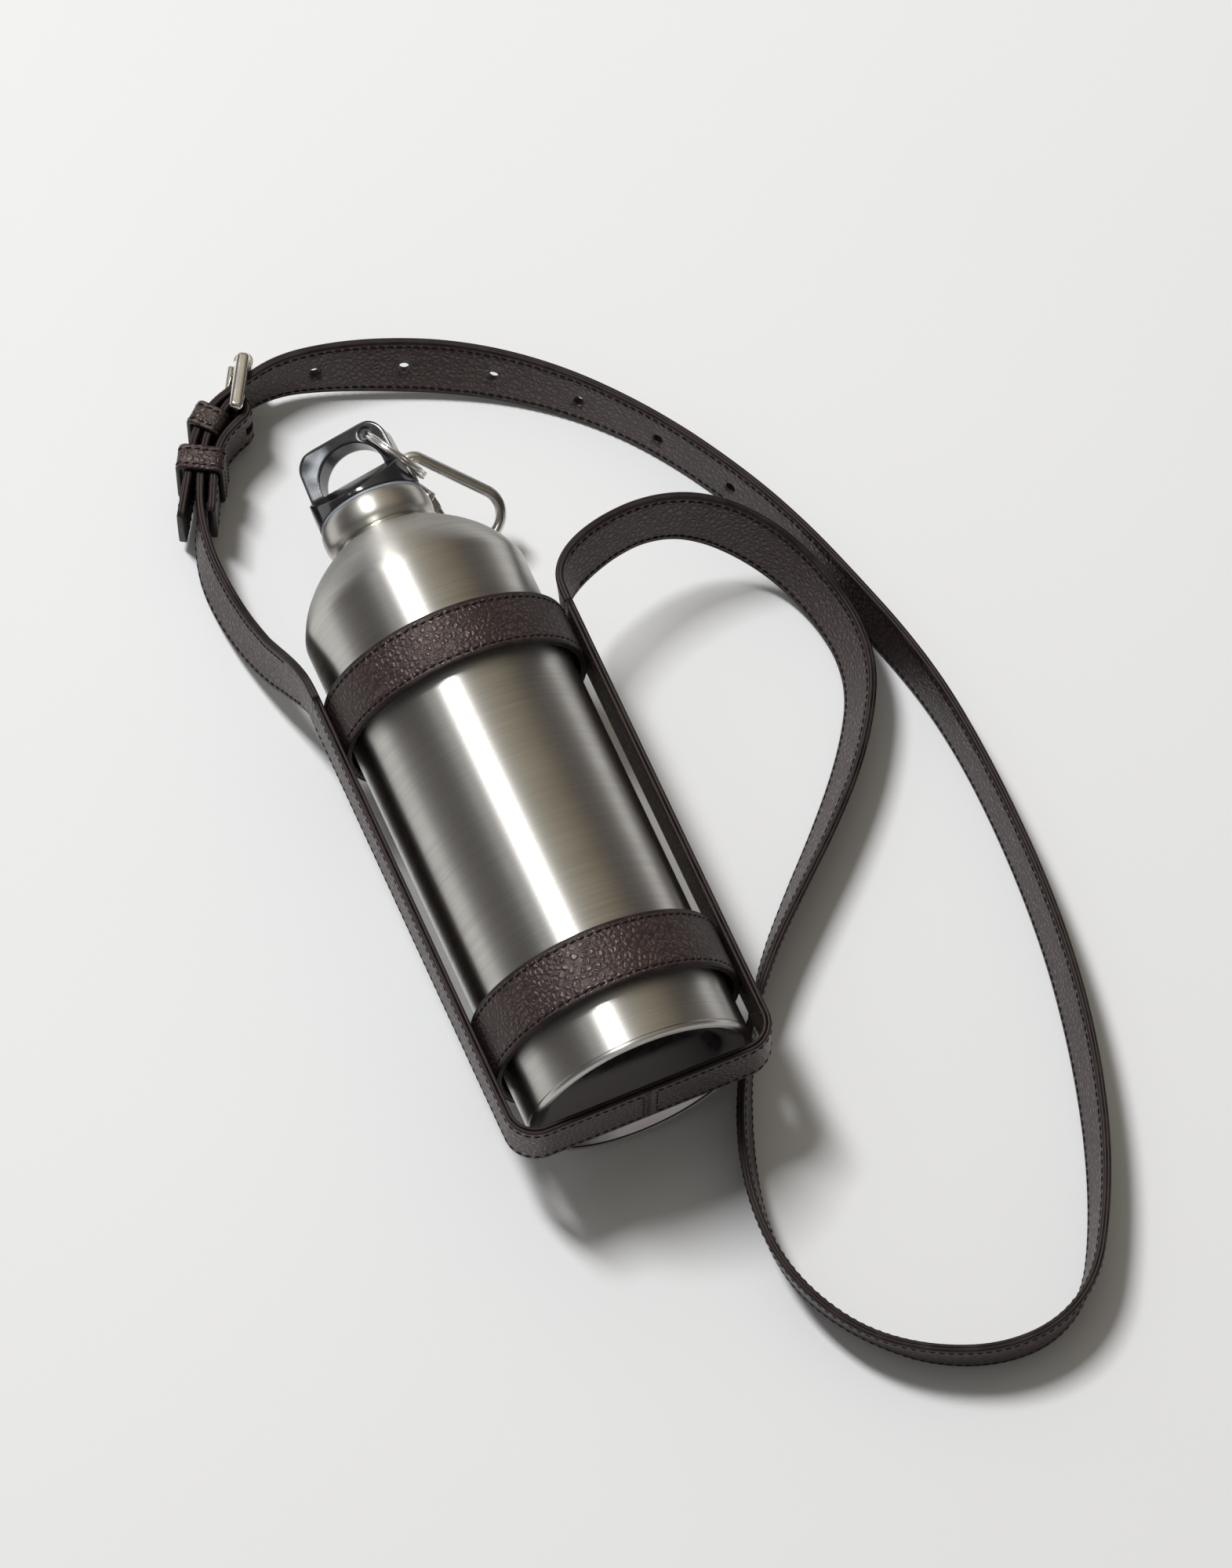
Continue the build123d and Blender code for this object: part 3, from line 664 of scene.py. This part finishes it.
# The shoulder strap's two halves. A route is x, y and z in mm of the strap's middle, and the lean
# of its upper edge in degrees.
longStrap = {
    "exit": (0.0419, 0.03765, 0.0403),
    "lengthM": 0.9755,
    "route": [
        (41.9, 37.7, 40.3, 0), (41.9, 42.25, 40.3, 0), (44.0, 47.25, 40.5, 9), (48.8, 51.65, 40.5, 15),
        (55.9, 55.25, 39.9, 17), (65.2, 58.05, 39.0, 15), (76.0, 59.55, 37.2, 13),
        (87.5, 58.45, 34.0, 14), (98.0, 54.45, 29.0, 18), (107.0, 48.45, 22.4, 21),
        (114.3, 40.55, 16.6, 23), (119.4, 30.85, 12.8, 23), (122.8, 19.25, 10.6, 23),
        (124.0, 6.15, 10.1, 23), (121.4, -6.95, 10.1, 23), (114.6, -19.35, 10.1, 24),
        (104.6, -32.85, 10.1, 25), (90.6, -47.75, 10.1, 23), (74.5, -62.95, 10.1, 19),
        (58.4, -78.75, 10.1, 12), (44.8, -96.75, 10.1, 2), (34.0, -115.35, 10.1, -6),
        (26.0, -133.95, 10.1, -11), (21.0, -152.95, 10.1, -10), (20.2, -171.95, 10.1, -10),
        (25.2, -189.55, 10.1, -12), (35.4, -205.75, 10.1, -15), (50.4, -218.75, 10.1, -9),
        (69.0, -226.55, 10.1, -7), (87.8, -226.55, 10.1, -5), (103.4, -217.15, 10.1, -8),
        (114.2, -199.35, 10.1, -11), (123.0, -179.75, 10.1, -14), (130.0, -158.95, 10.1, -15),
        (135.6, -136.75, 10.1, -15), (139.6, -114.15, 10.1, -13), (142.0, -90.75, 10.1, -11),
        (143.0, -66.95, 10.1, -9), (142.8, -43.35, 10.1, -8), (141.0, -20.75, 10.1, -9),
        (136.6, 1.05, 10.1, -11), (130.6, 22.05, 10.1, -12), (125.0, 41.25, 10.1, -11),
        (118.4, 59.05, 10.1, -10), (110.4, 75.65, 10.1, -10), (101.4, 91.65, 10.1, -10),
        (90.4, 107.45, 10.1, -11), (77.2, 122.25, 10.1, -16), (62.0, 135.05, 10.4, -22),
        (45.2, 145.45, 11.0, -27), (27.6, 153.25, 11.9, -26), (10.8, 158.85, 13.0, -18),
        (-4.6, 161.85, 13.8, -8), (-18.5, 159.55, 14.0, 0), (-29.9, 155.95, 14.0, 0),
        (-37.9, 148.75, 14.0, 0), (-43.2, 139.55, 14.0, 0), (-48.0, 131.55, 13.8, 0),
        (-52.4, 124.25, 13.6, 0)],
    "holes": 6,
    "firstHoleMm": 756.0,
    "holePitchMm": 28.5,
    "holeMm": 3.6,
    "prongHoleMm": 3.4,
    "stitchedMm": (16.0, -3.0),
    "endRowMm": -3.0,
}
shortStrap = {
    "exit": (-0.0419, 0.03765, 0.0403),
    "lengthM": 0.12,
    "route": [
        (-41.9, 37.7, 40.3, 0), (-41.9, 42.45, 40.3, 0), (-42.3, 47.25, 38.4, 0),
        (-43.1, 52.45, 34.7, -2), (-44.5, 59.25, 29.2, -5), (-46.7, 68.25, 22.9, -9),
        (-48.9, 81.25, 16.8, -12), (-50.1, 94.65, 13.2, -13), (-50.2, 107.25, 12.0, -12),
        (-48.2, 118.65, 12.6, -7), (-44.4, 128.65, 13.4, 0), (-39.8, 138.25, 14.0, 0),
        (-37.0, 142.75, 14.0, 0)],
    "stitchedMm": (16.0, -0.1),
}


def strapRun(route):
    run = smoothRun([(x * mm, y * mm, z * mm) for x, y, z, lean in route])
    leans = smoothRun([(math.radians(lean), 0, 0) for x, y, z, lean in route])
    ups = []
    for i, lean in enumerate(leans):
        ahead = (run[min(i + 1, len(run) - 1)] - run[max(i - 1, 0)]).normalized()
        level = Vector((ahead.y, -ahead.x, 0)).normalized()
        ups.append(level.cross(ahead) * math.cos(lean.x) - level * math.sin(lean.x))
    return run, framesOf(run, ups)


buckle = {
    "nearBarMm": (-22.3, 151.65, 14.0),
    "headingDeg": 59.97,
    "prongStartMm": (0.0, 2.95),
    "prongBendMm": (10.4, 4.5),
    "slotMm": 5.0,
}


def bucklePoint(alongMm, outMm):
    # mm along the buckle from its near bar, and away from the bottle
    heading = math.radians(buckle["headingDeg"])
    ahead = Vector((math.cos(heading), math.sin(heading), 0))
    away = Vector((-math.sin(heading), math.cos(heading), 0))
    return (Vector(buckle["nearBarMm"]) + ahead * alongMm + away * outMm) * mm


def addLongStrap():
    made = longStrap
    wide, thick = strap["widthMm"], strap["thicknessMm"]
    run, frames = strapRun(made["route"])
    mesh = stripMesh("longStrap", frames, leatherSection(twoLayerQuarter, wide, thick), wide)
    tools = []
    for hole in range(made["holes"]):
        spot = frameAt(frames, made["firstHoleMm"] + made["holePitchMm"] * hole)
        tools.append((spot[0], spot[3], made["holeMm"] / 2 * mm))
    start, bend = bucklePoint(*buckle["prongStartMm"]), bucklePoint(*buckle["prongBendMm"])
    tools.append(((start + bend) / 2, (bend - start).normalized(), made["prongHoleMm"] / 2 * mm))
    piece = addPiece("longStrap", drillMesh(mesh, tools), "holder", nodes=["shoulder_strap_long"])
    rows = edgeRows(frames, wide, thick, *made["stitchedMm"])
    for side in (1, -1):
        rows += crossRow(frames[-1], wide, thick, made["endRowMm"], side)
    stitches = addStitches("longStrap", rows)


def addShortStrap():
    wide, thick = strap["widthMm"], strap["thicknessMm"]
    run, frames = strapRun(shortStrap["route"])
    mesh = stripMesh("shortStrap", frames, leatherSection(twoLayerQuarter, wide, thick), wide)
    piece = addPiece("shortStrap", mesh, "holder", nodes=["shoulder_strap_short"])
    stitches = addStitches("shortStrap", edgeRows(frames, wide, thick, *shortStrap["stitchedMm"]))


# The short strap's folded end: round the buckle's near bar and back inside
foldEnd = {
    "outerMm": [(-37.0, 142.75), (-34.2, 147.25), (-29.4, 150.95), (-24.25, 154.37)],
    "innerMm": [(-21.4, 148.4), (-26.2, 146.55), (-31.6, 142.85), (-36.2, 136.65), (-39.3, 129.35),
                (-43.0, 122.05)],
    "reachMm": 3.35,
    "heightMm": 14.0,
    "slotLongMm": 10.2,
    "slotAheadMm": 1.6,
    "bendSteps": 24,
    "stitchedMm": (0.5, -3.0),
    "endRowMm": -2.6,
}


def addFoldEnd():
    made = foldEnd
    wide, thick = strap["widthMm"], strap["thicknessMm"]
    bar = Vector(buckle["nearBarMm"])
    start = Vector((*made["outerMm"][-1], 0)) - Vector((bar.x, bar.y, 0))
    stop = Vector((*made["innerMm"][0], 0)) - Vector((bar.x, bar.y, 0))
    first, last = math.atan2(start.y, start.x), math.atan2(stop.y, stop.x)
    outer = smoothRun([(x * mm, y * mm, 0) for x, y in made["outerMm"]])[:-1]
    inner = smoothRun([(x * mm, y * mm, 0) for x, y in made["innerMm"]])[1:]
    bend = []
    for i in range(made["bendSteps"] + 1):
        turn = first + (last - first) * i / made["bendSteps"]
        bend.append(Vector((bar.x + made["reachMm"] * math.cos(turn),
                            bar.y + made["reachMm"] * math.sin(turn), 0)) * mm)
    run = [Vector((p.x, p.y, made["heightMm"] * mm)) for p in outer + bend + inner]
    frames = framesOf(run, [Vector((0, 0, 1))] * len(run))
    mesh = stripMesh("foldEnd", frames, leatherSection(twoLayerQuarter, wide, thick), wide)
    # the slot that lets the prong through, cut across the whole fold
    heading = Matrix.Rotation(math.radians(buckle["headingDeg"]), 4, "Z")
    size = Matrix.Diagonal((made["slotLongMm"] * mm, 4 * made["reachMm"] * mm, buckle["slotMm"] * mm, 1))
    ahead = Matrix.Translation((made["slotAheadMm"] * mm, 0, 0))
    mesh = drillMesh(mesh, [(Matrix.Translation(bar * mm) @ heading @ ahead @ size,)])
    piece = addPiece("foldEnd", mesh, "holder", nodes=["fold_back"])
    rows = edgeRows(frames, wide, thick, *made["stitchedMm"])
    rows += crossRow(frames[-1], wide, thick, made["endRowMm"], 1)
    return [piece, addStitches("foldEnd", rows)]


# Keepers: short leather loops round the strap
keepers = {
    "fixedKeeper": {"node": "fixed_keeper", "body": "holder", "middleMm": (-31.9, 151.75, 14.0),
                    "headingDeg": 220.0, "insideMm": 8.0},
    "slidingKeeper": {"node": "sliding_keeper", "body": "keeper", "middleMm": (-39.3, 139.35, 14.0),
                      "headingDeg": 240.0, "insideMm": 12.0},
}
keeperLeather = {
    "widthMm": 8.4,
    "thicknessMm": 1.6,
    "heightMm": 20.8,
    "cornerMm": 2.2,
    "insetShare": 0.8,            # of the section's roundness, as the loops are narrow
    "edgeMm": 0.35,
    "stitchSpreadMm": 1.0,        # the two rows lie this much further apart
    "stepMm": 1.2,
}


def roundedLoop(wide, high, corner, steps=7):
    points = []
    for sx, sy, start in ((1, 1, 0), (-1, 1, 90), (-1, -1, 180), (1, -1, 270)):
        for i in range(steps):
            turn = math.radians(start + 90 * i / (steps - 1))
            points.append((sx * (wide / 2 - corner) + corner * math.cos(turn),
                           sy * (high / 2 - corner) + corner * math.sin(turn)))
    dense = []
    for (x, y), (u, v) in zip(points, points[1:] + points[:1]):
        cuts = max(1, round(math.hypot(u - x, v - y) / keeperLeather["stepMm"]))
        dense += [(x + (u - x) * k / cuts, y + (v - y) * k / cuts) for k in range(cuts)]
    return dense


def addKeeper(name, keeper):
    made = keeperLeather
    thick = made["thicknessMm"]
    loop = roundedLoop(keeper["insideMm"] + thick, made["heightMm"] + thick, made["cornerMm"])
    heading = math.radians(keeper["headingDeg"])
    ahead = Vector((math.cos(heading), math.sin(heading), 0))
    side = Vector((-math.sin(heading), math.cos(heading), 0))
    middle = Vector(keeper["middleMm"])
    places = [(middle + side * x + Vector((0, 0, y))) * mm for x, y in loop]
    frames = framesOf(places, [ahead] * len(places), closed=True)
    quarter = [(share, made["insetShare"] * inset) for share, inset in oneLayerQuarter]
    section = leatherSection(quarter, made["widthMm"], thick)
    mesh = stripMesh(name, frames, section, made["widthMm"], closed=True, edgeMm=made["edgeMm"])
    piece = addPiece(name, mesh, keeper["body"], nodes=[keeper["node"]])
    rows = edgeRows(frames + frames[:1], made["widthMm"] + made["stitchSpreadMm"], thick, 0.0, 0.0,
                    sides=(outerSide(frames, middle * mm),))
    return [piece, addStitches(name, rows, keeper["body"])]


# Bands round the bottle
bands = {
    "upperBand": {"node": "upper_band", "yMm": 28.15, "widthMm": 18.4},
    "lowerBand": {"node": "lower_band", "yMm": -87.35, "widthMm": 20.2},
}
bandLeather = {"outerMm": 40.3, "thicknessMm": 2.4, "axisMm": 40.3, "steps": 220}


def addBand(name, band):
    made = bandLeather
    radius = made["outerMm"] - made["thicknessMm"] / 2
    places = []
    for i in range(made["steps"]):
        turn = 2 * math.pi * i / made["steps"]
        places.append(Vector((radius * math.sin(turn), band["yMm"],
                              made["axisMm"] + radius * math.cos(turn))) * mm)
    frames = framesOf(places, [Vector((0, 1, 0))] * len(places), closed=True)
    section = leatherSection(twoLayerQuarter, band["widthMm"], made["thicknessMm"])
    mesh = stripMesh(name, frames, section, band["widthMm"], closed=True)
    addPiece(name, mesh, "holder", nodes=[band["node"]])
    axis = Vector((0, band["yMm"], made["axisMm"])) * mm
    rows = edgeRows(frames + frames[:1], band["widthMm"], made["thicknessMm"], 0.0, 0.0,
                    sides=(outerSide(frames, axis),))
    addStitches(name, rows)


# The foot: a pressed steel dish, its sides sloping in from the rim to a nearly flat middle,
# and the turned edge round it, crisper than the chamfer that it covers
footDish = {
    "footMm": -115.35,
    "axisMm": 39.2,
    # radius, and depth from the foot's edge
    "profileMm": [(35.3, 0.9), (34.9, 0.35), (34.5, 0.3), (34.1, 0.55), (33.2, 1.2), (31.4, 2.4),
                  (30.0, 3.2), (28.6, 3.75), (27.0, 3.98), (24.0, 4.1), (18.0, 4.2), (9.0, 4.28),
                  (0.0, 4.3)],
    "edgeMm": [(36.53, 1.9), (36.53, 1.1), (36.46, 0.72), (36.28, 0.4), (36.0, 0.16), (35.7, 0.04),
               (35.4, 0.0), (35.0, 0.0), (34.75, 0.12), (34.7, 0.45), (35.2, 0.9), (36.3, 1.7)],
    "wallMm": 0.7,
    "around": 160,
}


def turnedMesh(name, profile, axisMm, around, closed=False):
    # profile is (radius, y) in mm, from the axis out and back to it, or a closed loop off the axis
    points, rings = [], []
    for radius, y in profile:
        steps = around if radius > 0 else 1
        rings.append(range(len(points), len(points) + steps))
        for i in range(steps):
            turn = 2 * math.pi * i / around
            points.append(Vector((radius * math.sin(turn), y, axisMm + radius * math.cos(turn))) * mm)
    faces = []
    for one, two in zip(rings, rings[1:] + (rings[:1] if closed else [])):
        for i in range(around):
            k = (i + 1) % around
            corners = [one[i % len(one)], two[i % len(two)], two[k % len(two)], one[k % len(one)]]
            faces.append(tuple(dict.fromkeys(corners)))
    mesh = bpy.data.meshes.new(name)
    mesh.from_pydata(points, [], faces)
    for face in mesh.polygons:
        face.use_smooth = True
    return mesh


def addFootDish():
    made = footDish
    front = [(radius, made["footMm"] + deep) for radius, deep in made["profileMm"]]
    back = [(radius, y + made["wallMm"]) for radius, y in reversed(front)]
    profile = list(reversed(front)) + list(reversed(back))
    mesh = turnedMesh("footDish", profile, made["axisMm"], made["around"])
    # the dish finish carries painted shade in its dark colour
    mesh.materials.append(finishes["dish"])
    addPiece("footDish", mesh, "bottle", nodes=["base_disc"])
    edge = [(radius, made["footMm"] + deep) for radius, deep in made["edgeMm"]]
    mesh = turnedMesh("footEdge", edge, made["axisMm"], made["around"], closed=True)
    mesh.materials.append(finishes["brushed"])
    addPiece("footEdge", mesh, "bottle")


# The base strap: down one side, under the foot and up the other, a lining and two outer halves
baseStrap = {
    "insideMm": 81.2,
    "footMm": -118.85,
    "topMm": 37.65,
    "cornerMm": 7.4,
    "layerMm": 1.3,
    "liningThinnerMm": 0.05,
    "edgeMm": 0.4,
    "heightMm": 40.3,
    "seamGapMm": 0.03,            # from the middle of the foot to each half
    "seamStitchMm": 2.2,          # from the seam
    "topStitchMm": 0.5,           # from the upper ends
    "steps": (60, 12, 30),        # along a side, round a corner and under the foot
}


def footRun(outMm):
    made = baseStrap
    half = made["insideMm"] / 2 + outMm
    bottom = made["footMm"] - outMm
    corner = made["cornerMm"] + outMm
    wide = half - corner
    rise = made["topMm"] - bottom - corner
    sideSteps, turnSteps, footSteps = made["steps"]
    run = [(-half, made["topMm"] - rise * i / sideSteps) for i in range(sideSteps)]
    for side, start in ((-1, 180), (1, 270)):
        for i in range(turnSteps + 1):
            turn = math.radians(start + 90 * i / turnSteps)
            run.append((side * wide + corner * math.cos(turn), bottom + corner + corner * math.sin(turn)))
        if side < 0:
            run += [(-wide + 2 * wide * i / footSteps, bottom) for i in range(1, footSteps)]
    run += [(half, bottom + corner + rise * i / sideSteps) for i in range(1, sideSteps + 1)]
    return [Vector((x, y, made["heightMm"])) * mm for x, y in run]


def addBaseStrap():
    made = baseStrap
    up = Vector((0, 0, 1))
    wide = strap["widthMm"]
    run = footRun(made["layerMm"] / 2)
    frames = framesOf(run, [up] * len(run))
    section = leatherSection(oneLayerQuarter, wide, made["layerMm"] - made["liningThinnerMm"])
    mesh = stripMesh("baseStrapLining", frames, section, wide, edgeMm=made["edgeMm"])
    addPiece("baseStrapLining", mesh, "holder", nodes=["base_strap_lining"])
    run = footRun(1.5 * made["layerMm"])
    middle = [i for i, p in enumerate(run) if abs(p.x) < 1e-6][0]
    gap = Vector((made["seamGapMm"] * mm, 0, 0))
    section = leatherSection(oneLayerQuarter, wide, made["layerMm"])
    seamStitch, topStitch = made["seamStitchMm"], made["topStitchMm"]
    halves = {"baseStrapLeft": (run[:middle] + [run[middle] - gap], "base_strap_left", True),
              "baseStrapRight": ([run[middle] + gap] + run[middle + 1:], "base_strap_right", False)}
    for name, (places, node, seamLast) in halves.items():
        frames = framesOf(places, [up] * len(places))
        mesh = stripMesh(name, frames, section, wide, edgeMm=made["edgeMm"])
        addPiece(name, mesh, "holder", nodes=[node])
        if seamLast:
            side = -1 if frames[0][3].x > 0 else 1
            rows = edgeRows(frames, wide, made["layerMm"], topStitch, -seamStitch, sides=(side,))
            rows += crossRow(frames[-1], wide, made["layerMm"], -seamStitch, side)
        else:
            side = 1 if frames[-1][3].x > 0 else -1
            rows = edgeRows(frames, wide, made["layerMm"], seamStitch, -topStitch, sides=(side,))
            rows += crossRow(frames[0], wide, made["layerMm"], seamStitch, side)
        addStitches(name, rows)


addLongStrap()
onShort = addFoldEnd()
for name, keeper in keepers.items():
    onShort += addKeeper(name, keeper)
addShortStrap()
print("shoulder strap made")
for name, band in bands.items():
    addBand(name, band)
addBaseStrap()
addFootDish()
print("bands, base strap and foot made")


# Floor, lamps and the room that the metal mirrors
studio = {
    "floor": (0.765, 0.77, 0.785, 1),
    "floorPatch": (0.75, 0.755, 0.77, 1),
    # the room, by degrees from straight up: to the left is minus, to the right plus
    "room": [(-90, (0.22, 0.21, 0.20)), (-75, (0.12, 0.112, 0.11)), (-55, (0.12, 0.112, 0.11)),
             (-35, (0.25, 0.25, 0.245)), (-5, (0.62, 0.62, 0.60)), (15, (0.50, 0.46, 0.38)),
             (32, (0.40, 0.35, 0.265)), (46, (0.27, 0.235, 0.18)), (60, (0.13, 0.112, 0.10)),
             (78, (0.10, 0.088, 0.085)), (90, (0.14, 0.125, 0.12))],
    "roomFront": (1.5, 1.46, 1.40, 1),    # low in front of the foot
    "frontFrom": (-0.4, -0.8),            # as the mirrored direction's Y
    "frontUnder": (0.45, 0.15),           # and its Z
    "roomStrength": (0.4, 1.0),           # towards the foot's side, and towards the cap's
    "strengthFrom": (-0.3, 0.15),
    "floorHalf": 6.0,
    "floorDrop": 0.0002,
    "aim": (0, 0, 0.03),
    "lamps": [
        {"name": "keyLamp", "place": (-0.62, 1.42, 2.90), "size": (0.40, 1.0), "watts": 62.0,
         "colour": (1.0, 1.0, 0.995), "mirrored": True},
        {"name": "fillLamp", "place": (-0.62, 1.42, 2.90), "size": (0.40, 1.0), "watts": 38.0,
         "colour": (1.0, 1.0, 0.995), "mirrored": False},
        {"name": "stripLamp", "place": (-1.87, 1.58, 2.62), "size": (0.13, 0.30), "watts": 1.1,
         "colour": (0.90, 0.95, 1.0), "mirrored": True},
    ],
}


def addFloor():
    finish, tree, shader = newFinish("paleFloor", Roughness=0.85, Specular_IOR_Level=0.2)
    place = placeOf(tree)
    patches = noiseOf(tree, place, 5.0, 4.0)
    fibre = noiseOf(tree, place, 700.0, 3.0)
    colour = blendOf(tree, patches, studio["floor"], studio["floorPatch"])
    tree.links.new(colour, shader.inputs["Base Color"])
    addBump(tree, shader, fibre, 0.03)
    half = studio["floorHalf"]
    corners = [(-half, -half, 0), (half, -half, 0), (half, half, 0), (-half, half, 0)]
    mesh = bpy.data.meshes.new("floor")
    mesh.from_pydata(corners, [], [(0, 1, 2, 3)])
    mesh.materials.append(finish)
    floor = bpy.data.objects.new("floor", mesh)
    floor.location.z = -studio["floorDrop"]
    scene.collection.objects.link(floor)


def addLamps():
    for lamp in studio["lamps"]:
        data = bpy.data.lights.new(lamp["name"], "AREA")
        data.shape = "RECTANGLE"
        data.size, data.size_y = lamp["size"]
        data.energy = lamp["watts"]
        data.color = lamp["colour"]
        holder = bpy.data.objects.new(lamp["name"], data)
        holder.location = lamp["place"]
        holder.visible_glossy = lamp["mirrored"]
        aim = Vector(studio["aim"]) - Vector(lamp["place"])
        holder.rotation_euler = aim.to_track_quat("-Z", "Y").to_euler()
        scene.collection.objects.link(holder)


def addRoom():
    world = bpy.data.worlds.new("room")
    scene.world = world
    world.use_nodes = True
    tree = world.node_tree
    background = tree.nodes["Background"]
    view = addNode(tree, "ShaderNodeTexCoord").outputs["Generated"]
    parts = addNode(tree, "ShaderNodeSeparateXYZ", {0: view})
    angle = mathOf(tree, "ARCTAN2", parts.outputs["X"], parts.outputs["Z"])
    share = spanOf(tree, angle, -math.pi / 2, math.pi / 2)
    ramp = addNode(tree, "ShaderNodeValToRGB", {"Fac": share})
    stops = ramp.color_ramp.elements
    while len(stops) < len(studio["room"]):
        stops.new(0.5)
    for stop, (degrees, colour) in zip(stops, studio["room"]):
        stop.position = degrees / 180 + 0.5
        stop.color = (*colour, 1)
    front = mathOf(tree, "MULTIPLY", spanOf(tree, parts.outputs["Y"], *studio["frontFrom"]),
                   spanOf(tree, parts.outputs["Z"], *studio["frontUnder"]))
    colour = blendOf(tree, front, ramp.outputs["Color"], studio["roomFront"])
    tree.links.new(colour, background.inputs["Color"])
    strength = spanOf(tree, parts.outputs["Y"], *studio["strengthFrom"], *studio["roomStrength"])
    tree.links.new(strength, background.inputs["Strength"])


addFloor()
addLamps()
addRoom()
print("studio set")
